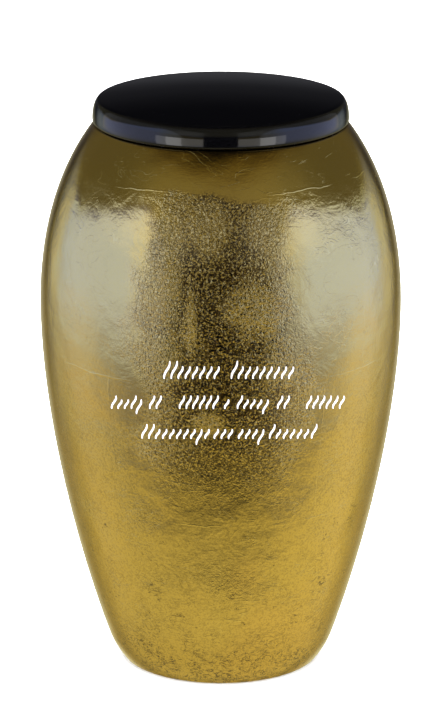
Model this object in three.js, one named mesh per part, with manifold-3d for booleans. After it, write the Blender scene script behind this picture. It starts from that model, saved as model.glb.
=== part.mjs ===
// Cremation urn: a hollow egg-shaped vessel with a lift-off cap.
// Millimetres, +Z up, the front towards -Y, origin at the centre of the underside.
import * as THREE from 'three';
import { mergeVertices } from 'three/addons/utils/BufferGeometryUtils.js';
import Module from 'manifold-3d';

// Vessel outline, from the floor up
const FOOT_D = 87.8;
const CORNER_D = 101.8;
const CORNER_H = 11.7;
const BELLY_D = 160.8;
const BELLY_H = 165.8;
const RIM_D = 113;
const RIM_H = 246.8;
// Lean of the outline from upright at the foot, the corner and the rim, in degrees
const FOOT_LEAN = 50.8;
const CORNER_LEAN = 19.7;
const RIM_LEAN = 37.5;
// Fullness of each curve at its lower and upper end, as a share of its own chord
const FOOT_CURVE = [0.125, 0.413];
const LOWER_CURVE = [0.266, 0.325];
const UPPER_CURVE = [0.336, 0.339];
const RIM_ROUND = 2.3;

// Vessel wall and mouth
const WALL = 4;
const FLOOR = 5;
const RIM_PLATE = 4;
const LAND_W = 8.7;

// Cap
const SEAT_GAP = 0.3;
const CAP_OVERHANG = 0.15;
const CAP_H = 13.7;
const CAP_EDGE_ROUND = 1.5;
const CAP_SHOULDER_W = 2.6;
const CAP_CROWN = 3.6;
const CAP_SHOULDER_CURVE = [0.76, 0.16];
const CAP_ROOF = 3.5;
const SPIGOT_CLEARANCE = 0.4;
const SPIGOT_WALL = 2.5;
const SPIGOT_DEPTH = 8;
const SPIGOT_CHAMFER = 0.8;

// Inscription field: rows of cut strokes, laid out flat and carried back onto the wall along
// a sight line that falls by SIGHT_FALL degrees, so that the rows look straight from the front
const SIGHT_FALL = 17.2;
const MARK_DEPTH = 0.8;
const MARK_W = 0.95;
const MARK_TIP_W = 0.5;
const MARK_SLANT = 0.32;
const MARK_WAVE = 0.42;
const MARK_STEPS = 3;
const TALL = 'tall';
const SHORT = 'short';
const DROP = 'drop';
const ROWS = [
  {
    base: 122.7,
    pitch: 3.1,
    heights: { tall: [0, 7.8], short: [0, 5.4] },
    groups: [
      [-24.3, [TALL, TALL, SHORT, SHORT, SHORT, SHORT, SHORT, SHORT]],
      [4.6, [TALL, SHORT, SHORT, SHORT, SHORT, SHORT, SHORT, SHORT, SHORT]],
    ],
  },
  {
    base: 109.85,
    pitch: 2.9,
    heights: { tall: [0, 5.8], short: [0, 4.1], drop: [-2.2, 4.1] },
    groups: [
      [-47.2, [TALL, SHORT, SHORT, TALL, DROP]],
      [-30.5, [TALL, TALL]],
      [-17.6, [TALL, TALL, TALL, TALL, TALL, TALL]],
      [1.9, [SHORT]],
      [7.3, [TALL, SHORT, SHORT, SHORT, DROP]],
      [24.6, [TALL, TALL]],
      [37.2, [TALL, TALL, TALL, TALL, TALL, TALL]],
    ],
  },
  {
    base: 96.95,
    pitch: 3.05,
    heights: { tall: [0, 6.4], short: [0, 4.2], drop: [-2.6, 4.2] },
    groups: [
      [-34, [TALL, TALL, SHORT, SHORT, SHORT, SHORT, SHORT, SHORT, DROP, SHORT]],
      [-2.6, [SHORT, SHORT, SHORT]],
      [7.9, [SHORT, SHORT, SHORT, DROP]],
      [21.2, [TALL, SHORT, SHORT, SHORT, SHORT, SHORT, TALL]],
    ],
  },
];

// Rings and facets
const FACETS = 52;
const FOOT_STEPS = 3;
const LOWER_STEPS = 9;
const UPPER_STEPS = 8;
const ROUND_STEPS = 2;
const SHOULDER_STEPS = 6;
const CROWN_STEPS = 4;

const v2 = (x, y) => new THREE.Vector2(x, y);
const rad = THREE.MathUtils.degToRad;

// Direction that leans outwards from straight up by the given degrees
const leaning = (degrees) => v2(Math.sin(rad(degrees)), Math.cos(rad(degrees)));

// Cubic curve from a to b that leaves along da and arrives along db
function curve(a, da, b, db, [start, end]) {
  const chord = a.distanceTo(b);
  return new THREE.CubicBezierCurve(
    a,
    a.clone().addScaledVector(da, start * chord),
    b.clone().addScaledVector(db, -end * chord),
    b,
  );
}

const foot = v2(FOOT_D / 2, 0);
const corner = v2(CORNER_D / 2, CORNER_H);
const belly = v2(BELLY_D / 2, BELLY_H);
const rim = v2(RIM_D / 2, RIM_H);
const upright = v2(0, 1);
const OUTLINE = [
  [curve(foot, leaning(FOOT_LEAN), corner, leaning(CORNER_LEAN), FOOT_CURVE), FOOT_STEPS],
  [curve(corner, leaning(CORNER_LEAN), belly, upright, LOWER_CURVE), LOWER_STEPS],
  [curve(belly, upright, rim, leaning(-RIM_LEAN), UPPER_CURVE), UPPER_STEPS],
];

// Points up the vessel's outline, moved inwards by inset along the wall's normal
function outlinePoints(inset, refine = 1) {
  const points = [];
  for (const [part, steps] of OUTLINE) {
    for (let i = points.length ? 1 : 0; i <= steps * refine; i += 1) {
      const t = i / (steps * refine);
      const along = part.getTangent(t);
      points.push(part.getPoint(t).add(v2(-along.y, along.x).multiplyScalar(inset)));
    }
  }
  return points;
}

// Radius of a rising outline at a height
function radiusAt(points, height) {
  let i = 1;
  while (i < points.length - 1 && points[i].y < height) i += 1;
  const [a, b] = [points[i - 1], points[i]];
  return a.x + ((b.x - a.x) * (height - a.y)) / (b.y - a.y);
}

// Quarter-like round about a centre, from one angle to another in degrees
function round(centre, radius, from, to) {
  const points = [];
  for (let i = 0; i <= ROUND_STEPS; i += 1) {
    const angle = rad(from + ((to - from) * i) / ROUND_STEPS);
    points.push(centre.clone().add(v2(Math.cos(angle), Math.sin(angle)).multiplyScalar(radius)));
  }
  return points;
}

// Heights and radii where the cap meets the vessel
const rimOutward = v2(Math.cos(rad(RIM_LEAN)), Math.sin(rad(RIM_LEAN)));
const rimCentre = rim.clone().addScaledVector(rimOutward, -RIM_ROUND);
const landH = rimCentre.y + RIM_ROUND;
const mouthR = rimCentre.x - LAND_W;
const seatH = landH + SEAT_GAP;

// Solid of revolution whose profile runs from the axis back to the axis
function turned(profile) {
  const geometry = new THREE.LatheGeometry(profile, FACETS);
  geometry.rotateX(Math.PI / 2);
  return geometry;
}

function vesselProfile() {
  const ceilingH = landH - RIM_PLATE;
  const inside = outlinePoints(WALL);
  const hollow = inside.filter((p) => p.y > FLOOR && p.y < ceilingH);
  hollow.unshift(v2(radiusAt(inside, FLOOR), FLOOR));
  hollow.push(v2(radiusAt(inside, ceilingH), ceilingH));
  return [
    v2(0, 0),
    ...outlinePoints(0),
    ...round(rimCentre, RIM_ROUND, RIM_LEAN, 90).slice(1),
    v2(mouthR, landH),
    v2(mouthR, ceilingH),
    ...hollow.reverse(),
    v2(0, FLOOR),
  ];
}

function capProfile() {
  const outerR = rim.x + CAP_OVERHANG;
  const topH = seatH + CAP_H;
  const spigotR = mouthR - SPIGOT_CLEARANCE;
  const hollowR = spigotR - SPIGOT_WALL;
  const spigotH = seatH - SPIGOT_DEPTH;
  const crownR = outerR - CAP_SHOULDER_W;
  const crownEdge = v2(crownR, topH - CAP_CROWN);
  const edge = v2(outerR, seatH + CAP_EDGE_ROUND);
  const rise = crownEdge.y - edge.y;
  const fall = (2 * CAP_CROWN) / crownR;
  const [up, across] = CAP_SHOULDER_CURVE;
  const shoulder = new THREE.CubicBezierCurve(
    edge,
    v2(outerR, edge.y + up * rise),
    v2(crownR + across * CAP_SHOULDER_W, crownEdge.y - across * CAP_SHOULDER_W * fall),
    crownEdge,
  );
  const crown = [];
  for (let i = 1; i <= CROWN_STEPS; i += 1) {
    const out = 1 - i / CROWN_STEPS;
    crown.push(v2(out * crownR, topH - CAP_CROWN * out * out));
  }
  return [
    v2(0, topH - CAP_ROOF),
    v2(hollowR, topH - CAP_ROOF - CAP_CROWN),
    v2(hollowR, spigotH),
    v2(spigotR - SPIGOT_CHAMFER, spigotH),
    v2(spigotR, spigotH + SPIGOT_CHAMFER),
    v2(spigotR, seatH),
    ...round(v2(outerR - CAP_EDGE_ROUND, seatH + CAP_EDGE_ROUND), CAP_EDGE_ROUND, -90, 0),
    ...shoulder.getPoints(SHOULDER_STEPS).slice(1),
    ...crown,
  ];
}

// The wall's fine outline, for carrying the inscription field onto it
const wallLine = outlinePoints(0, 8);

// Point of the wall, sunk by depth, behind (across, up) of the flat field
function onWall(across, up, depth) {
  const fall = rad(SIGHT_FALL);
  let height = up;
  let out = 0;
  for (let i = 0; i < 12; i += 1) {
    const radius = radiusAt(wallLine, height);
    out = Math.sqrt(radius * radius - across * across);
    height = (up + out * Math.sin(fall)) / Math.cos(fall);
  }
  const sunk = 1 - depth / Math.hypot(across, out);
  return [across * sunk, -out * sunk, height];
}

// Closed cutter that follows a path of [across, up, width] over the wall
function strokeCutter(path) {
  const vertices = [];
  const faces = [];
  for (let i = 0; i < path.length; i += 1) {
    const [a, b] = [path[Math.max(i - 1, 0)], path[Math.min(i + 1, path.length - 1)]];
    const side = v2(b[1] - a[1], a[0] - b[0]).setLength(path[i][2] / 2);
    for (const [sign, depth] of [[-1, MARK_DEPTH], [1, MARK_DEPTH], [1, -1], [-1, -1]]) {
      vertices.push(...onWall(path[i][0] + sign * side.x, path[i][1] + sign * side.y, depth));
    }
  }
  const quad = (a, b, c, d) => faces.push(a, b, c, a, c, d);
  for (let i = 0; i < path.length - 1; i += 1) {
    for (let k = 0; k < 4; k += 1) {
      const [low, high] = [4 * i + k, 4 * i + ((k + 1) % 4)];
      quad(low, low + 4, high + 4, high);
    }
  }
  const last = 4 * (path.length - 1);
  quad(0, 1, 2, 3);
  quad(last + 3, last + 2, last + 1, last);
  return { vertices, faces };
}

// Slanted wave between two heights, thick in the middle and thin at its tips
function wavePath(across, base, [from, to]) {
  const path = [];
  for (let i = 0; i <= MARK_STEPS; i += 1) {
    const t = i / MARK_STEPS;
    const up = from + (to - from) * t;
    const width = MARK_TIP_W + (MARK_W - MARK_TIP_W) * Math.sin(Math.PI * t);
    path.push([across + MARK_SLANT * up - MARK_WAVE * Math.sin(2 * Math.PI * t), base + up, width]);
  }
  return path;
}

// Paths of all the marks, row by row
function inscriptionPaths() {
  const paths = [];
  for (const { base, pitch, heights, groups } of ROWS) {
    for (const [start, kinds] of groups) {
      for (const [i, kind] of kinds.entries()) {
        paths.push(wavePath(start + i * pitch, base, heights[kind]));
      }
    }
  }
  return paths;
}

const wasm = await Module();
wasm.setup();

// Solid of the boolean library from loose or shared vertices, with its faces turned outwards
function toSolid(vertices, faces) {
  const geometry = new THREE.BufferGeometry();
  geometry.setAttribute('position', new THREE.BufferAttribute(new Float32Array(vertices), 3));
  geometry.setIndex(faces);
  const merged = mergeVertices(geometry, 1e-4);
  const vertProperties = new Float32Array(merged.attributes.position.array);
  const triVerts = new Uint32Array(merged.index.array);
  return new wasm.Manifold(new wasm.Mesh({ numProp: 3, vertProperties, triVerts }));
}

function toGeometry(solid) {
  const { vertProperties, triVerts } = solid.getMesh();
  const geometry = new THREE.BufferGeometry();
  geometry.setAttribute('position', new THREE.BufferAttribute(vertProperties, 3));
  geometry.setIndex(new THREE.BufferAttribute(triVerts, 1));
  geometry.computeVertexNormals();
  return geometry;
}

function vesselGeometry() {
  const blank = turned(vesselProfile());
  let solid = toSolid(blank.attributes.position.array, [...blank.index.array]);
  for (const path of inscriptionPaths()) {
    const { vertices, faces } = strokeCutter(path);
    solid = solid.subtract(toSolid(vertices, faces));
  }
  return toGeometry(solid);
}

const group = new THREE.Group();
for (const [name, geometry, colour, roughness, metalness] of [
  ['urn_body', vesselGeometry(), 0xa8904a, 0.35, 0.9],
  ['lid', turned(capProfile()), 0x0a0a0c, 0.08, 0],
]) {
  const material = new THREE.MeshStandardMaterial({ color: colour, roughness, metalness });
  const mesh = new THREE.Mesh(geometry, material);
  mesh.name = name;
  group.add(mesh);
}

export default group;
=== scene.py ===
"""A gold-leaf cremation urn with a black lacquered lid, on a plain pale floor."""

import bpy
import numpy as np
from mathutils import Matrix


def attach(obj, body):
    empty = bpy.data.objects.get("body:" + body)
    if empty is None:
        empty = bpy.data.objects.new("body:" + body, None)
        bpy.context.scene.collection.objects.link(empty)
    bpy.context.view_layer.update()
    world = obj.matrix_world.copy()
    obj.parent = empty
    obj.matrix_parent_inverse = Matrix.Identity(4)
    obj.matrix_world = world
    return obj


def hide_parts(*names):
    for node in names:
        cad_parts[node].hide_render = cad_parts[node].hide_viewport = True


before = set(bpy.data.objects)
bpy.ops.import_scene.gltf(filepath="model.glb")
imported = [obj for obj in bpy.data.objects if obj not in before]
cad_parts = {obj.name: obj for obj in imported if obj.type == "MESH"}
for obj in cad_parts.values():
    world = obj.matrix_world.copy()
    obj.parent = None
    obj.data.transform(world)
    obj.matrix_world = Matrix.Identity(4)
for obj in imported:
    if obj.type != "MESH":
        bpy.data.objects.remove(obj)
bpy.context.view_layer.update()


# The vessel
# A hollow moulding of glass-fibre composite with a wall of 4 mm: a narrow flat foot, a wide belly
# high up and a flat land round the mouth. Squares of imitation gold leaf are laid over a dark
# ground, pressed into small wrinkles, and sealed under a clear gloss varnish.

MM = 0.001
FOOT = np.array([43.9, 0.0])
CORNER = np.array([50.9, 11.7])
BELLY = np.array([80.4, 165.8])
RIM = np.array([56.5, 246.8])
FOOT_LEAN, CORNER_LEAN, RIM_LEAN = 50.8, 19.7, 37.5
RIM_ROUND, MOUTH_ROUND = 2.3, 0.5
WALL, FLOOR, RIM_PLATE, LAND_W = 4.0, 5.0, 4.0, 8.7
# The foot's small round between the underside and the side: radius and height of its points.
FOOT_ROUND = [[42.6, 0], [43.4, 0.03], [43.95, 0.16], [44.4, 0.38]]
# Handles of the three curves as shares of their chords, and the steps along each.
FOOT_CURVE, LOWER_CURVE, UPPER_CURVE = (0.125, 0.413, 14), (0.266, 0.325, 90), (0.336, 0.339, 56)
AROUND = 256


def leaning(degrees):
    """Direction that leans outwards from straight up by the angle: (sine, cosine)."""
    return np.array([np.sin(np.radians(degrees)), np.cos(np.radians(degrees))])


def cubic(a, da, b, db, start, end, steps):
    """Cubic Bezier from a to b: it leaves along da and arrives along db, and its handles are the
    shares start and end of the chord. The last point is left out, for the next curve to give."""
    chord = np.linalg.norm(b - a)
    t = (np.arange(steps) / steps)[:, None]
    p, q = a + da * start * chord, b - db * end * chord
    return (1 - t) ** 3 * a + 3 * (1 - t) ** 2 * t * p + 3 * (1 - t) * t**2 * q + t**3 * b


def arc(centre, radius, start, end, steps):
    """Points at equal angles, in degrees, on a circle about the centre."""
    angle = np.radians(np.linspace(start, end, steps))[:, None]
    return centre + radius * np.hstack([np.cos(angle), np.sin(angle)])


def line(a, b, steps):
    """Points at equal distances from a to b, both left out."""
    t = (np.arange(1, steps) / steps)[:, None]
    return np.asarray(a) * (1 - t) + np.asarray(b) * t


def inset(points, depth):
    """The points moved by depth to the left of their path, square to it."""
    along = np.gradient(points, axis=0)
    along /= np.linalg.norm(along, axis=1)[:, None]
    return points + depth * np.stack([-along[:, 1], along[:, 0]], axis=1)


def outline():
    """The vessel's outline up from the floor: foot to corner, corner to belly, belly to rim."""
    up = leaning(0)
    return np.vstack(
        [
            cubic(FOOT, leaning(FOOT_LEAN), CORNER, leaning(CORNER_LEAN), *FOOT_CURVE),
            cubic(CORNER, leaning(CORNER_LEAN), BELLY, up, *LOWER_CURVE),
            cubic(BELLY, up, RIM, leaning(-RIM_LEAN), *UPPER_CURVE),
            [RIM],
        ]
    )


def turned(name, profile, around):
    """Solid of revolution. The profile runs from the axis back to the axis, out along the
    underside first: point (angle, k) is (r_k cos angle, r_k sin angle, z_k), the two end points
    are single poles, and the UV map holds turns round the axis and metres along the profile."""
    r, z = np.asarray(profile)[:, 0] * MM, np.asarray(profile)[:, 1] * MM
    rings = len(r) - 2
    angle = 2 * np.pi * np.arange(around) / around - np.pi / 2
    ring_r, ring_z = r[1:-1, None], np.repeat(z[1:-1, None], around, axis=1)
    grid = np.stack([ring_r * np.cos(angle), ring_r * np.sin(angle), ring_z], axis=2)
    verts = np.vstack([grid.reshape(-1, 3), [[0, 0, z[0]], [0, 0, z[-1]]]])
    k, i = np.meshgrid(np.arange(rings - 1), np.arange(around), indexing="ij")
    j = (i + 1) % around
    quads = np.stack([k * around + i, k * around + j, (k + 1) * around + j, (k + 1) * around + i], 2)
    first, last = rings * around, rings * around + 1
    i, j = np.arange(around), (np.arange(around) + 1) % around
    top = (rings - 1) * around
    fans = np.vstack(
        [
            np.stack([np.full(around, first), j, i], axis=1),
            np.stack([top + i, top + j, np.full(around, last)], axis=1),
        ]
    )
    mesh = bpy.data.meshes.new(name)
    mesh.from_pydata(verts, [], quads.reshape(-1, 4).tolist() + fans.tolist())
    run = np.concatenate([[0], np.cumsum(np.hypot(np.diff(r), np.diff(z)))])
    turn = np.arange(around) / around
    k, i = np.meshgrid(np.arange(rings - 1), np.arange(around), indexing="ij")
    u = np.stack([turn[i], turn[i] + 1 / around, turn[i] + 1 / around, turn[i]], axis=2)
    v = np.stack([run[k + 1], run[k + 1], run[k + 2], run[k + 2]], axis=2)
    half = turn + 0.5 / around
    low = np.stack([half, turn + 1 / around, turn], axis=1)
    high = np.stack([turn, turn + 1 / around, half], axis=1)
    low_v = np.tile([0, run[1], run[1]], (around, 1))
    high_v = np.tile([run[-2], run[-2], run[-1]], (around, 1))
    us = np.concatenate([u.ravel(), low.ravel(), high.ravel()])
    vs = np.concatenate([v.ravel(), low_v.ravel(), high_v.ravel()])
    uv = mesh.uv_layers.new(name="wrap")
    uv.data.foreach_set("uv", np.stack([us, vs], axis=1).ravel())
    mesh.polygons.foreach_set("use_smooth", np.ones(len(mesh.polygons), bool))
    mesh.update()
    piece = bpy.data.objects.new(name, mesh)
    bpy.context.scene.collection.objects.link(piece)
    return piece


rim_centre = RIM - RIM_ROUND * leaning(RIM_LEAN)[::-1]
LAND_H = rim_centre[1] + RIM_ROUND
MOUTH_R = rim_centre[0] - LAND_W
mouth_edge = MOUTH_R + MOUTH_ROUND
under_rim = LAND_H - RIM_PLATE
outer = outline()
inner = inset(outer, WALL)[::3]
inner = inner[(inner[:, 1] > FLOOR + 0.8) & (inner[:, 1] < under_rim - 0.8)][::-1]
foot_edge = outer[outer[:, 1] > 0.6]
vessel_profile = np.vstack(
    [
        [[0, 0]],
        line([0, 0], FOOT_ROUND[0], 8),
        FOOT_ROUND,
        foot_edge,
        arc(rim_centre, RIM_ROUND, RIM_LEAN, 90, 8)[1:],
        line([rim_centre[0], LAND_H], [MOUTH_R, LAND_H], 5),
        arc(np.array([mouth_edge, LAND_H - MOUTH_ROUND]), MOUTH_ROUND, 90, 180, 4),
        line([MOUTH_R, LAND_H - MOUTH_ROUND], [MOUTH_R, under_rim + MOUTH_ROUND], 3),
        arc(np.array([mouth_edge, under_rim + MOUTH_ROUND]), MOUTH_ROUND, 180, 270, 4),
        line([mouth_edge, under_rim], [inner[0, 0] - 1, under_rim], 4),
        inner,
        line([inner[-1, 0] - 1, FLOOR], [0, FLOOR], 5),
        [[0, FLOOR]],
    ]
)
vessel = turned("vessel", vessel_profile, AROUND)

# The leaf's squares: heights of the level seams, where each row starts round the vessel, and how
# many squares go round. Then the brighter patches of the front, where the leaf covered its ground
# well, less painted shade lies and the relief is stronger: place in turns from the front, height,
# half width in turns, half height in metres.
SEAM_HEIGHTS = [0.083, 0.149, 0.231]
SEAM_TURNS = [0.0, 0.095, -0.026, 0.02]
LEAVES_AROUND = [5, 5, 6, 5]
OPEN_PATCHES = [
    (-0.010, 0.218, 0.018, 0.011),
    (0.031, 0.183, 0.027, 0.013),
    (-0.026, 0.178, 0.005, 0.012),
    (-0.012, 0.132, 0.016, 0.006),
    (-0.056, 0.199, 0.02, 0.024),
    (0.045, 0.217, 0.02, 0.01),
]
LEAF_GOLD, LEAF_DEEP_GOLD = (0.57, 0.40, 0.11, 1), (0.54, 0.385, 0.11, 1)
LEAF_BROWN_GOLD, LEAF_PALE_GOLD = (0.50, 0.34, 0.07, 1), (0.57, 0.40, 0.14, 1)
# The second colour on the next line lightens seams and hairlines: a painted highlight.
LEAF_WARM_GOLD, SEAM_PAINTED_GLINT_GOLD = (0.60, 0.38, 0.10, 1), (0.70, 0.53, 0.2, 1)
# The second colour on the next line is a painted highlight for pale glint lines on the front.
FOOT_GOLD, PAINTED_GLINT_GOLD = (0.40, 0.26, 0.05, 1), (0.76, 0.56, 0.21, 1)
# The dark colour on the next line is the ground under the leaf and also painted shade on the front.
GROUND_AND_PAINTED_SHADE = (0.062, 0.033, 0.011, 1)
VARNISH_IOR = 1.45


class Finish:
    """A material's node tree, with short calls that add a node, link its inputs and give back
    its output."""

    def __init__(self, name):
        self.material = bpy.data.materials.new(name)
        self.material.use_nodes = True
        self.tree = self.material.node_tree
        self.shader = self.tree.nodes["Principled BSDF"]

    def node(self, kind, settings=(), output=0, **inputs):
        """One node: settings are its properties, inputs its sockets by name or _number."""
        made = self.tree.nodes.new("ShaderNode" + kind)
        for key, value in dict(settings).items():
            setattr(made, key, value)
        for key, value in inputs.items():
            socket = made.inputs[int(key[1:])] if key[0] == "_" else made.inputs[key.replace("_", " ")]
            if isinstance(value, bpy.types.NodeSocket):
                self.tree.links.new(value, socket)
            else:
                socket.default_value = value
        return made.outputs[output]

    def math(self, operation, a, b=0.0, c=0.0):
        return self.node("Math", {"operation": operation}, _0=a, _1=b, _2=c)

    def times(self, *values):
        """The values multiplied together."""
        product = values[0]
        for value in values[1:]:
            product = self.math("MULTIPLY", product, value)
        return product

    def most(self, *values):
        """The largest of the values."""
        largest = values[0]
        for value in values[1:]:
            largest = self.math("MAXIMUM", largest, value)
        return largest

    def scaled(self, value, factor, offset):
        """Value times factor, plus offset."""
        return self.math("MULTIPLY_ADD", value, factor, offset)

    def thin_line(self, value, wide, narrow):
        """1 where the value lies within narrow of one half, falling to 0 at wide of it."""
        return self.ramp(self.math("ABSOLUTE", self.math("SUBTRACT", value, 0.5)), wide, narrow)

    def noise(self, vector, scale, detail=2.0, roughness=0.5, distortion=0.0):
        return self.node(
            "TexNoise",
            Vector=vector,
            Scale=scale,
            Detail=detail,
            Roughness=roughness,
            Distortion=distortion,
        )

    def stretched(self, vector, factors, turn=(0, 0, 0)):
        return self.node("Mapping", _0=vector, Scale=factors, Rotation=turn)

    def ramp(self, value, low, high, smooth=True):
        """Value carried from 0 at low to 1 at high, and held outside them."""
        kind = "SMOOTHSTEP" if smooth else "LINEAR"
        return self.node("MapRange", {"interpolation_type": kind}, _0=value, _1=low, _2=high)

    def mix(self, share, a, b):
        return self.node("Mix", {"data_type": "RGBA"}, output=2, _0=share, _6=a, _7=b)

    def bump(self, height, distance, strength=1.0, normal=None):
        extra = {"Normal": normal} if normal is not None else {}
        return self.node("Bump", Height=height, Distance=distance, Strength=strength, **extra)

    def set(self, **inputs):
        for key, value in inputs.items():
            socket = self.shader.inputs[key.replace("_", " ")]
            if isinstance(value, bpy.types.NodeSocket):
                self.tree.links.new(value, socket)
            else:
                socket.default_value = value


def leaf_squares(leaf, place, turn, height):
    """The laid squares, with wavering edges: a line along each seam, broken by noise, and a tone
    that is one random number for each square."""
    seam_z = leaf.math("ADD", height, leaf.scaled(leaf.noise(place, 38, 3, 0.6), 0.006, -0.003))
    row_turn, row_count, row_number = SEAM_TURNS[0], float(LEAVES_AROUND[0]), 0.0
    edge_z = 1.0
    for level, start, count, before, count_before in zip(
        SEAM_HEIGHTS, SEAM_TURNS[1:], LEAVES_AROUND[1:], SEAM_TURNS, LEAVES_AROUND
    ):
        above = leaf.math("GREATER_THAN", seam_z, level)
        row_turn = leaf.scaled(above, start - before, row_turn)
        row_count = leaf.scaled(above, float(count - count_before), row_count)
        row_number = leaf.math("ADD", above, row_number)
        gap = leaf.math("ABSOLUTE", leaf.math("SUBTRACT", seam_z, level))
        edge_z = leaf.math("MINIMUM", gap, edge_z)
    waver = leaf.scaled(leaf.noise(place, 55, 2, 0.6), 0.012, -0.006)
    across = leaf.times(leaf.math("SUBTRACT", leaf.math("ADD", turn, waver), row_turn), row_count)
    off_edge = leaf.math("ABSOLUTE", leaf.math("SUBTRACT", across, leaf.math("ROUND", across)))
    edge = leaf.math("MINIMUM", edge_z, leaf.times(off_edge, 0.084))
    seam = leaf.times(leaf.ramp(edge, 0.00045, 0.0001), leaf.ramp(leaf.noise(place, 48, 2), 0.42, 0.62))
    square = leaf.node("CombineXYZ", _0=leaf.math("FLOOR", across), _1=row_number, _2=0.0)
    return seam, leaf.node("TexWhiteNoise", {"noise_dimensions": "3D"}, Vector=square)


def gold_leaf():
    """Leaf under varnish. The front is wrinkled (fine and lengthwise noise) and darkened in small
    spots, fewer in its open patches: partly leaf rubbed through to its dark ground, partly painted
    shade for the dark space that the front reflects. Thin pale lines on the front are a painted
    highlight, and seams and hairlines are lightened as a painted highlight too. The sides are
    smooth; a smooth band with a few hairlines lies under the lid. Lower down there are cracks and
    clustered dashes, thin lines where a noise passes one half, which crowd together at the foot."""
    leaf = Finish("gold_leaf")
    place = leaf.node("TexCoord", output=3)
    turn = leaf.node("SeparateXYZ", Vector=leaf.node("UVMap", {"uv_map": "wrap"}))
    height = leaf.node("SeparateXYZ", output=2, Vector=place)
    seam, tone = leaf_squares(leaf, place, turn, height)

    # Zones: how far round from the front, below the smooth band, and the lower body.
    signed = leaf.math("SUBTRACT", leaf.math("FRACT", leaf.math("ADD", turn, 0.5)), 0.5)
    drift = leaf.scaled(leaf.noise(place, 26, 3, 0.6), 0.16, -0.08)
    from_front = leaf.math("ADD", leaf.math("ABSOLUTE", signed), drift)
    level = leaf.scaled(leaf.noise(place, 30, 3, 0.6), 0.02, leaf.math("ADD", height, -0.01))
    below_band = leaf.ramp(level, 0.2325, 0.228)
    lower = leaf.ramp(level, 0.16, 0.115)
    at_foot = leaf.ramp(height, 0.034, 0.008)
    front = leaf.times(leaf.ramp(from_front, 0.09, 0.045), leaf.ramp(level, 0.08, 0.13), below_band)
    loose = leaf.ramp(leaf.noise(place, 30, 3, 0.6), 0.48, 0.66)
    wrinkled = leaf.times(leaf.most(front, leaf.times(loose, leaf.scaled(lower, 0.25, 0.1))), below_band)
    frayed = leaf.scaled(leaf.noise(place, 110, 3, 0.65), 1.1, -0.55)
    open_patch = 0.0
    for patch_turn, patch_height, half_turn, half_height in OPEN_PATCHES:
        a = leaf.math("DIVIDE", leaf.math("SUBTRACT", signed, patch_turn), half_turn)
        b = leaf.math("DIVIDE", leaf.math("SUBTRACT", height, patch_height), half_height)
        away = leaf.math("SQRT", leaf.scaled(a, a, leaf.times(b, b)))
        open_patch = leaf.most(leaf.ramp(leaf.math("ADD", away, frayed), 1.3, 0.6), open_patch)
    open_patch = leaf.times(open_patch, front)

    # Relief: a slow sway, crumples, lengthwise and slanting wrinkles, fine grain, seams, hairlines.
    tall = leaf.noise(leaf.stretched(place, (1, 1, 0.3)), 760, 2, 0.6, 0.5)
    slant = leaf.noise(leaf.stretched(place, (0.3, 1, 1.0), (0, 0.7, 0)), 620, 2, 0.6, 0.6)
    patch = leaf.noise(place, 24, 3, 0.55)
    wrinkles = leaf.mix(leaf.ramp(patch, 0.42, 0.62), tall, slant)
    hair = leaf.thin_line(leaf.noise(leaf.stretched(place, (1, 1, 1.8)), 42, 1, 0.5, 2.2), 0.003, 0.0005)
    hair = leaf.times(hair, leaf.ramp(leaf.noise(place, 60, 2, 0.6), 0.52, 0.6))
    scratch = leaf.noise(leaf.stretched(place, (0.16, 1, 1), (0, -0.5, 0)), 300, 1, 0.5, 0.3)
    rubbed = leaf.ramp(leaf.noise(place, 40, 3, 0.6), 0.55, 0.66)
    hair = leaf.most(hair, leaf.times(leaf.thin_line(scratch, 0.03, 0.005), rubbed))
    seam_or_hair = leaf.most(seam, hair)
    relief = leaf.scaled(open_patch, 0.5, leaf.scaled(wrinkled, 0.85, 0.06))
    normal = leaf.bump(leaf.noise(place, 34, 2, 0.5), 0.0012, 0.8)
    crumple = leaf.noise(place, 90, 3, 0.6, 0.5)
    normal = leaf.bump(crumple, 0.0009, leaf.scaled(below_band, 0.35, 0.1), normal)
    normal = leaf.bump(wrinkles, 0.00036, leaf.scaled(wrinkled, 0.6, 0.12), normal)
    normal = leaf.bump(leaf.noise(place, 720, 2, 0.6, 1.0), 0.0006, relief, normal)
    normal = leaf.bump(seam_or_hair, 0.00008, 0.5, normal)

    # Wear: cracks that crowd towards the foot, dashes in clusters, specks, and gaps in the front.
    # The front's gaps are partly painted shade for the dark space that it reflects.
    cracks = leaf.noise(leaf.stretched(place, (1, 1, 1.7)), 210, 3, 0.65, 1.0)
    cracks = leaf.thin_line(cracks, 0.035, 0.006)
    low = leaf.ramp(height, 0.13, 0.01)
    starts, ends = leaf.scaled(low, -0.18, 0.57), leaf.scaled(low, -0.12, 0.67)
    crowd = leaf.ramp(leaf.noise(place, 75, 3, 0.6), starts, ends)
    crowd = leaf.most(crowd, leaf.times(at_foot, leaf.ramp(frayed, -0.12, 0.05)))
    weight = leaf.scaled(lower, 0.3, leaf.scaled(at_foot, 0.62, 0.15))
    dashes = leaf.noise(leaf.stretched(place, (1, 1, 2.6), (0.25, 0.2, 0)), 120, 3, 0.6, 0.7)
    dashes = leaf.times(leaf.thin_line(dashes, 0.022, 0.004), 0.85)
    cluster = leaf.ramp(leaf.noise(place, 85, 3, 0.65), 0.565, 0.62)
    dashes = leaf.times(dashes, cluster, leaf.ramp(height, 0.125, 0.07))
    grain = leaf.noise(place, 1050, 2, 0.6, 0.4)
    speck = leaf.times(leaf.ramp(grain, 0.52, 0.38), leaf.scaled(leaf.most(lower, wrinkled), 0.24, 0.02))
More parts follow.
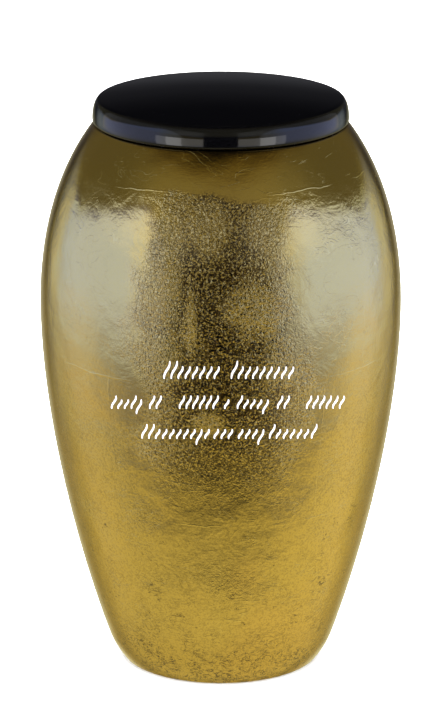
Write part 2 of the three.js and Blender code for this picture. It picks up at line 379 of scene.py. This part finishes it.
    # Painted shade: dark spots over the front centre, partly leaf rubbed through to its ground and
    # partly darkness painted where the front reflects the dark space before it.
    bare_and_shaded = leaf.times(leaf.ramp(from_front, 0.068, 0.02), leaf.scaled(open_patch, -0.8, 1.0))
    gaps_start = leaf.scaled(leaf.ramp(height, 0.205, 0.175), 0.035, 0.55)
    gaps_and_painted_shade = leaf.times(leaf.ramp(grain, gaps_start, 0.485), front, bare_and_shaded, 0.97)
    wear_and_painted_shade = leaf.most(leaf.times(cracks, crowd, weight), dashes, speck, gaps_and_painted_shade)
    # Painted highlight: thin pale glint lines over the front, lightening its colour.
    painted_glint_lines = leaf.noise(leaf.stretched(place, (1, 1, 0.6), (0, 0.35, 0)), 480, 3, 0.65, 0.9)
    painted_glint_lines = leaf.times(leaf.thin_line(painted_glint_lines, 0.03, 0.008), front, leaf.ramp(frayed, -0.2, 0.1))

    # Colour: a slow drift, each square's tone, warmer patches lower down, browner at the foot, painted
    # highlights along seams, hairlines and pale glint lines, and dark spots that are partly painted
    # shade.
    tint = leaf.mix(leaf.ramp(patch, 0.35, 0.7), LEAF_GOLD, LEAF_DEEP_GOLD)
    tint = leaf.mix(leaf.times(tone, 0.3), tint, LEAF_BROWN_GOLD)
    tint = leaf.mix(leaf.times(front, 0.5), tint, LEAF_PALE_GOLD)
    warm = leaf.times(leaf.ramp(leaf.noise(place, 13, 2, 0.5), 0.5, 0.68), lower)
    tint = leaf.mix(leaf.times(warm, 0.5), tint, LEAF_WARM_GOLD)
    # Painted highlight: seams and hairlines are lightened, on top of their real relief.
    tint = leaf.mix(leaf.times(seam_or_hair, 0.3), tint, SEAM_PAINTED_GLINT_GOLD)
    tint = leaf.mix(leaf.times(at_foot, 0.4), tint, FOOT_GOLD)
    # Ground showing through, and painted shade on the front.
    colour = leaf.mix(wear_and_painted_shade, tint, GROUND_AND_PAINTED_SHADE)
    # Painted highlight: the pale glint lines.
    colour = leaf.mix(leaf.times(painted_glint_lines, 0.6), colour, PAINTED_GLINT_GOLD)
    leaf.set(
        Base_Color=colour,
        Metallic=1.0,
        Roughness=leaf.scaled(front, -0.04, leaf.scaled(leaf.noise(place, 60, 3, 0.6), 0.12, 0.11)),
        Normal=normal,
        Coat_Weight=1.0,
        Coat_Roughness=0.1,
        Coat_IOR=VARNISH_IOR,
        Specular_Tint=(0.85, 0.65, 0.3, 1),
    )
    return leaf.material


vessel.data.materials.append(gold_leaf())
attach(vessel, "root")
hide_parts("urn_body")


# The inscription
# Three rows of shallow strokes in the front wall, filled with white enamel. They have the rhythm
# of slanted handwriting and are no letters. Each lies where the sight line from the front, which
# falls by 17.2 degrees, carries a flat drawing onto the wall.

SIGHT_FALL, SIGHT_REPEATS = np.radians(17.2), 14
MARK_W, MARK_TIP_W, MARK_SLANT = 0.95, 0.5, 0.32
MARK_WAVE, MARK_PROUD = 0.42, 0.06
ENAMEL_DIM, ENAMEL_WHITE = (0.80, 0.77, 0.79, 1), (0.90, 0.86, 0.88, 1)
ROWS = [
    (122.7, 3.1, {"tall": (0, 7.8), "short": (0, 5.4)},
     [(-24.3, "tall tall short short short short short short"),
      (4.6, "tall short short short short short short short short")]),
    (109.85, 2.9, {"tall": (0, 5.8), "short": (0, 4.1), "drop": (-2.2, 4.1)},
     [(-47.2, "tall short short tall drop"),
      (-30.5, "tall tall"),
      (-17.6, "tall tall tall tall tall tall"),
      (1.9, "short"),
      (7.3, "tall short short short drop"),
      (24.6, "tall tall"),
      (37.2, "tall tall tall tall tall tall")]),
    (96.95, 3.05, {"tall": (0, 6.4), "short": (0, 4.2), "drop": (-2.6, 4.2)},
     [(-34, "tall tall short short short short short short drop short"),
      (-2.6, "short short short"),
      (7.9, "short short short drop"),
      (21.2, "tall short short short short short tall")]),
]


def on_wall(across, up):
    """Points of the wall behind a flat drawing: across is x, and the height is raised by how far
    the wall stands out towards the viewer, along the falling sight line. Solved by repeating."""
    height = up
    for _ in range(SIGHT_REPEATS):
        radius = np.interp(height, outer[:, 1], outer[:, 0])
        out = np.sqrt(radius**2 - across**2)
        height = (up + out * np.sin(SIGHT_FALL)) / np.cos(SIGHT_FALL)
    return np.stack([across, -out, height], axis=-1)


def stroke(path, width):
    """A stroke's skin: across its width it is a low arch that starts below the wall's surface,
    stands proud of it in the middle and ends below it again, carried along the path."""
    along = np.gradient(path, axis=0)
    along /= np.linalg.norm(along, axis=1)[:, None]
    side = np.stack([along[:, 1], -along[:, 0]], axis=1)
    share = np.array([-1, -0.96, -0.8, -0.4, 0, 0.4, 0.8, 0.96, 1])
    proud = np.array([-0.25, -0.02, 0.6, 0.95, 1, 0.95, 0.6, -0.02, -0.25]) * MARK_PROUD
    flat = path[:, None] + side[:, None] * (share[None, :, None] * width[:, None, None] / 2)
    point = on_wall(flat[..., 0], flat[..., 1])
    radius = np.hypot(point[..., 0], point[..., 1])
    taper = np.ones(len(path))
    taper[[0, -1]] = -0.25
    lift = 1 + np.minimum(proud[None, :], taper[:, None] * MARK_PROUD) / radius
    point[..., :2] *= lift[..., None]
    return point * MM


def wave(across, base, low, high, steps=14):
    """A slanted line from low to high that sways once to each side: its swing is a full sine, and
    its width grows from the tip to the middle and back as half a sine."""
    t = np.linspace(0, 1, steps)
    up = low + (high - low) * t
    path = np.stack([across + MARK_SLANT * up - MARK_WAVE * np.sin(2 * np.pi * t), base + up], axis=1)
    return path, MARK_TIP_W + (MARK_W - MARK_TIP_W) * np.sin(np.pi * t)


strokes = []
for base, pitch, heights, groups in ROWS:
    for start, kinds in groups:
        for i, kind in enumerate(kinds.split()):
            strokes.append(stroke(*wave(start + i * pitch, base, *heights[kind])))

verts, faces, count = [], [], 0
for skin in strokes:
    rows, columns = skin.shape[:2]
    number = count + np.arange(rows * columns).reshape(rows, columns)
    corners = [number[:-1, :-1], number[:-1, 1:], number[1:, 1:], number[1:, :-1]]
    faces.append(np.stack(corners, axis=2).reshape(-1, 4))
    verts.append(skin.reshape(-1, 3))
    count += rows * columns
enamel_mesh = bpy.data.meshes.new("inscription")
enamel_mesh.from_pydata(np.vstack(verts), [], np.vstack(faces).tolist())
enamel_mesh.polygons.foreach_set("use_smooth", np.ones(len(enamel_mesh.polygons), bool))
enamel_mesh.update()
inscription = bpy.data.objects.new("inscription", enamel_mesh)
bpy.context.scene.collection.objects.link(inscription)

enamel = Finish("white_enamel")
spot = enamel.node("TexCoord", output=3)
cloud = enamel.noise(spot, 900, 2)
enamel.set(
    Base_Color=enamel.mix(cloud, ENAMEL_DIM, ENAMEL_WHITE),
    Roughness=0.35,
    Normal=enamel.bump(enamel.noise(spot, 1500, 2), 0.00005, 0.4),
)
inscription.data.materials.append(enamel.material)
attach(inscription, "root")


# The lid
# A shallow cap turned in the same composite and lacquered deep black. It is hollow underneath and
# a spigot ring drops into the mouth, so it lifts straight off and rests by its own weight.

SEAT_GAP, CAP_OVERHANG, CAP_H, CAP_EDGE_ROUND = 0.3, 0.15, 13.7, 1.5
CAP_SHOULDER_W, CAP_CROWN, CAP_ROOF = 2.6, 3.6, 3.5
SHOULDER_RISE, SHOULDER_RUN = 0.76, 0.16
SPIGOT_CLEARANCE, SPIGOT_WALL, SPIGOT_DEPTH, SPIGOT_CHAMFER = 0.4, 2.5, 8.0, 0.8
LACQUER_BLACK, LACQUER_HAZE = (0.0008, 0.0008, 0.0011, 1), (0.0014, 0.0014, 0.0018, 1)
LACQUER_IOR = 1.34


def cap_profile():
    """Axis to axis, under the roof first: hollow, spigot, seat, round lower edge, a full shoulder
    (Bezier that leaves upright and arrives along the crown), and a crown that falls as r squared."""
    seat, outer_r = LAND_H + SEAT_GAP, RIM[0] + CAP_OVERHANG
    top, spigot_r = seat + CAP_H, MOUTH_R - SPIGOT_CLEARANCE
    hollow_r, spigot_z = spigot_r - SPIGOT_WALL, seat - SPIGOT_DEPTH
    crown_r = outer_r - CAP_SHOULDER_W
    edge = np.array([outer_r, seat + CAP_EDGE_ROUND])
    crown_edge = np.array([crown_r, top - CAP_CROWN])
    roof = top - CAP_ROOF - CAP_CROWN
    fall = 2 * CAP_CROWN / crown_r
    rise = crown_edge[1] - edge[1]
    t = np.linspace(0, 1, 22)[1:, None]
    p = edge + [0, SHOULDER_RISE * rise]
    q = crown_edge + SHOULDER_RUN * CAP_SHOULDER_W * np.array([1, -fall])
    shoulder = (1 - t) ** 3 * edge + 3 * (1 - t) ** 2 * t * p
    shoulder = shoulder + 3 * (1 - t) * t**2 * q + t**3 * crown_edge
    out = np.linspace(1, 0, 22)[1:]
    crown = np.stack([out * crown_r, top - CAP_CROWN * out**2], axis=1)
    return np.vstack(
        [
            [[0, roof]],
            line([0, roof], [hollow_r - 1, roof], 6),
            arc(np.array([hollow_r - 1, roof - 1]), 1, 90, 0, 5),
            line([hollow_r, roof - 1], [hollow_r, spigot_z + 0.3], 4),
            [[hollow_r, spigot_z + 0.3], [hollow_r + 0.3, spigot_z]],
            [[spigot_r - SPIGOT_CHAMFER, spigot_z], [spigot_r, spigot_z + SPIGOT_CHAMFER]],
            line([spigot_r, spigot_z + SPIGOT_CHAMFER], [spigot_r, seat], 3),
            [[spigot_r, seat - 0.05], [spigot_r + 0.05, seat]],
            line([spigot_r, seat], [outer_r - CAP_EDGE_ROUND, seat], 4),
            arc(edge - [CAP_EDGE_ROUND, 0], CAP_EDGE_ROUND, -90, 0, 9),
            shoulder,
            crown,
        ]
    )


lid = turned("lid_cap", cap_profile(), 192)

lacquer = Finish("black_lacquer")
spot = lacquer.node("TexCoord", output=3)
haze = lacquer.noise(spot, 35, 3)
dust = lacquer.ramp(lacquer.noise(spot, 1400, 2), 0.72, 0.8)
lacquer.set(
    Base_Color=lacquer.mix(haze, LACQUER_BLACK, LACQUER_HAZE),
    Roughness=lacquer.scaled(dust, 0.15, 0.06),
    IOR=LACQUER_IOR,
    Coat_Weight=0.0,
    Normal=lacquer.bump(haze, 0.00012, 0.5),
)
lid.data.materials.append(lacquer.material)
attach(lid, "root")
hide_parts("lid")


# The floor, the backdrop and the studio light
# A pale floor under a white backdrop. Two tall soft panels stand left and right of the urn with
# a dark gap between them at the camera, the ceiling is dim, and pale paper lies round the foot.

bpy.ops.mesh.primitive_plane_add(size=14)
floor = bpy.context.object
floor.name = "floor"
paper = Finish("pale_floor")
spot = paper.node("TexCoord", output=3)
paper.set(
    Base_Color=paper.mix(paper.noise(spot, 9, 3), (0.90, 0.90, 0.90, 1), (0.92, 0.92, 0.92, 1)),
    Roughness=0.8,
)
floor.data.materials.append(paper.material)
floor.visible_glossy = False

bpy.ops.mesh.primitive_uv_sphere_add(radius=6.5, segments=48, ring_count=24)
backdrop = bpy.context.object
backdrop.name = "backdrop"
white = bpy.data.materials.new("white_backdrop")
white.use_nodes = True
white.node_tree.nodes.clear()
glow = white.node_tree.nodes.new("ShaderNodeEmission")
glow.inputs["Color"].default_value = (1, 1, 1, 1)
target = white.node_tree.nodes.new("ShaderNodeOutputMaterial")
white.node_tree.links.new(glow.outputs[0], target.inputs[0])
backdrop.data.materials.append(white)
for ray in ("visible_glossy", "visible_diffuse", "visible_shadow", "visible_transmission"):
    setattr(backdrop, ray, False)

# One light overhead for everything, and a wide one whose light falls on the floor only.
floor_only = bpy.data.collections.new("floor_only")
floor_only.objects.link(floor)
for name, light_h, width, energy, receivers in [
    ("overhead_light", 2.4, 2.6, 95, None),
    ("floor_light", 2.5, 20.0, 3420, floor_only),
]:
    bpy.ops.object.light_add(type="AREA", location=(0, 0, light_h))
    lamp = bpy.context.object
    lamp.name = name
    lamp.data.shape = "DISK"
    lamp.data.size = width
    lamp.data.energy = energy
    lamp.visible_glossy = False
    lamp.visible_camera = False
    lamp.light_linking.receiver_collection = receivers

# The room as the surfaces see it, painted by direction: side is the angle round from the camera
# in degrees, 0 at the camera and 180 behind the urn, and tilt the angle above level.
world = bpy.data.worlds.new("studio")
bpy.context.scene.world = world
world.use_nodes = True


class Studio(Finish):
    """The same short calls on the world's node tree."""

    def __init__(self, tree):
        self.tree = tree


sky = Studio(world.node_tree)
TO_DEGREES = 57.2958
parts = sky.tree.nodes.new("ShaderNodeSeparateXYZ")
sky.tree.links.new(sky.node("TexCoord", output=0), parts.inputs[0])
east, north, up = parts.outputs
around = sky.math("ARCTAN2", sky.math("ABSOLUTE", east), sky.times(north, -1.0))
side = sky.times(around, TO_DEGREES)
tilt = sky.times(sky.math("ARCSINE", up), TO_DEGREES)


def band(value, low, high, soft_low, soft_high):
    """1 between low and high, falling to 0 over the soft widths."""
    rise = sky.ramp(value, low - soft_low / 2, low + soft_low / 2)
    fall = sky.ramp(value, high + soft_high / 2, high - soft_high / 2)
    return sky.times(rise, fall)


def lit(total, mask, colour):
    """Adds a colour times a mask to the light gathered so far."""
    spread = sky.node("CombineXYZ", _0=mask, _1=mask, _2=mask)
    return sky.node("VectorMath", {"operation": "MULTIPLY_ADD"}, _0=spread, _1=colour, _2=total)


# Behind the urn: dark but for a faint glow at the horizon, which the lid's top shows.
far = sky.ramp(side, 138, 166)
light = lit((0.005, 0.005, 0.007), sky.times(far, band(tilt, -4, 7, 6, 10)), (0.045, 0.046, 0.050))
light = lit(light, sky.times(far, band(tilt, -4, 17, 6, 12)), (0.025, 0.025, 0.028))

# The panels' upper edge: it falls towards the back and is rounded off at the camera's side.
corner = sky.math("POWER", sky.most(sky.math("SUBTRACT", 61.0, side), 0.0), 2.0)
sloped = sky.math("MINIMUM", sky.math("SUBTRACT", side, 63.0), 52.0)
fall = sky.scaled(corner, 0.04, sky.scaled(sloped, 0.36, tilt))

# The ceiling: dimmer to the sides, and only its upper part behind the urn.
near = sky.scaled(sky.times(far, sky.ramp(tilt, 43, 35)), -0.99, 1.0)
near = sky.times(near, sky.scaled(sky.ramp(side, 34, 96), -0.52, 1.0))
over_panel = sky.times(sky.ramp(fall, 19, 27), sky.ramp(side, 60, 85))
ceiling = sky.times(near, sky.most(sky.ramp(tilt, 7, 15), over_panel))
light = lit(light, sky.times(ceiling, sky.ramp(tilt, 54, 38)), (0.11, 0.14, 0.12))
light = lit(light, sky.times(ceiling, sky.ramp(tilt, 64, 44)), (0.20, 0.15, 0.045))

# The panels: a faint spill round them, the panel, its bright heart, a glow at the back edge and
# one at the front edge on the left, and a bar above the front edge.
more_right = sky.scaled(east, 0.05, 1.0)
spill = sky.times(band(side, 38, 116, 22, 21), sky.ramp(tilt, -45, -14), sky.ramp(fall, 28, 23))
light = lit(light, sky.times(spill, more_right), (0.155, 0.17, 0.34))
panel = sky.times(band(side, 35, 141, 14, 24), sky.ramp(tilt, -31, -8), sky.ramp(fall, 27, 21.5))
light = lit(light, sky.times(panel, more_right), (0.56, 0.66, 0.78))
heart = sky.times(panel, band(side, 53, 126, 20, 14), sky.ramp(tilt, -26, -3))
light = lit(light, sky.times(heart, more_right), (0.14, 0.30, 1.12))
back_edge = sky.times(band(side, 128, 142, 16, 16), sky.ramp(tilt, -17, -9), sky.ramp(tilt, 4, -2))
light = lit(light, back_edge, (0.27, 0.27, 0.17))
front_edge = sky.times(band(side, 30, 56, 12, 14), sky.ramp(east, 0.0, -0.3))
front_edge = sky.times(front_edge, sky.ramp(tilt, -30, -20), sky.ramp(fall, 27, 21.5))
light = lit(light, front_edge, (0.20, 0.20, 0.11))
bar = sky.times(band(side, 16, 42, 24, 12), band(tilt, 10, 26, 8, 8))
light = lit(light, bar, (0.32, 0.32, 0.28))

# The pale paper round the foot, dimmer at the back, and a low glow behind.
side_squared = sky.math("POWER", sky.math("MINIMUM", side, 95.0), 2.0)
reach = sky.math("SUBTRACT", sky.times(side_squared, 0.0024), tilt)
darker_back = sky.scaled(sky.ramp(side, 112, 145), -0.45, 1.0)
paper_glow = sky.times(sky.ramp(reach, 26, 56), sky.scaled(east, 0.12, 1.0), darker_back)
light = lit(light, sky.times(paper_glow, sky.ramp(tilt, 2, -12)), (0.94, 0.86, 0.38))
back_glow = sky.times(sky.ramp(side, 146, 166), sky.ramp(tilt, -1, -10))
light = lit(light, back_glow, (0.34, 0.33, 0.24))
background = world.node_tree.nodes["Background"]
sky.tree.links.new(light, background.inputs["Color"])
background.inputs["Strength"].default_value = 1.0
world.cycles_visibility.camera = False

# Soft boxes left and right that only the lacquer sees: a long low box, a dimmer one above it, a
# brighter box towards the camera and a narrow strip before that. Each has its bearing from the
# camera in degrees, distance, width and height in metres, rise above the lid, and brightness.
LID_H = 0.255
lid_only = bpy.data.collections.new("lid_only")
lid_only.objects.link(lid)
for name, bearing, away, width, tall, lift, radiance, colour in [
    ("soft_box", 71.5, 1.0, 3.02, 0.55, -0.075, 0.55, (1.0, 0.76, 0.18)),
    ("soft_box_top", 71.5, 1.0, 3.02, 0.55, 0.475, 0.34, (0.90, 0.93, 1.0)),
    ("near_box", 36.5, 1.0, 0.79, 0.39, -0.155, 2.2, (0.96, 0.95, 0.95)),
    ("hot_strip", 41.0, 0.9, 0.22, 0.33, -0.135, 3.4, (0.98, 0.97, 0.96)),
]:
    for sign in (-1, 1):
        turn = np.radians(bearing)
        place = (sign * away * np.sin(turn), -away * np.cos(turn), LID_H + lift)
        bpy.ops.object.light_add(type="AREA", location=place)
        box = bpy.context.object
        box.name = name
        box.rotation_euler = (np.pi / 2, 0, sign * turn)
        box.data.shape = "RECTANGLE"
        box.data.size, box.data.size_y = width, tall
        box.data.energy = radiance * np.pi * width * tall
        box.data.color = colour
        box.visible_camera = False
        box.light_linking.receiver_collection = lid_only

# The camera
# It stands 1.84 m from the urn, 16.5 degrees above level, as in the photograph. The picture's
# height, the focal length and the shift of its centre were worked out in pixels.

PICTURE_H_PX, FOCAL_PX, SHIFT_PX = 707, 4114.3, -0.72
SENSOR_MM = 36
camera_data = bpy.data.cameras.new("camera")
camera_data.lens = SENSOR_MM * FOCAL_PX / PICTURE_H_PX
camera_data.sensor_width = SENSOR_MM
camera_data.shift_x = SHIFT_PX / PICTURE_H_PX
camera = bpy.data.objects.new("camera", camera_data)
bpy.context.scene.collection.objects.link(camera)
LOOK_H, FAR, RISE = 0.1409, 1.8424, np.radians(16.5)
camera.location = (0, -FAR * np.cos(RISE), LOOK_H + FAR * np.sin(RISE))
camera.rotation_euler = (np.pi / 2 - RISE, 0, 0)
bpy.context.scene.camera = camera
bpy.context.scene.view_settings.view_transform = "Standard"
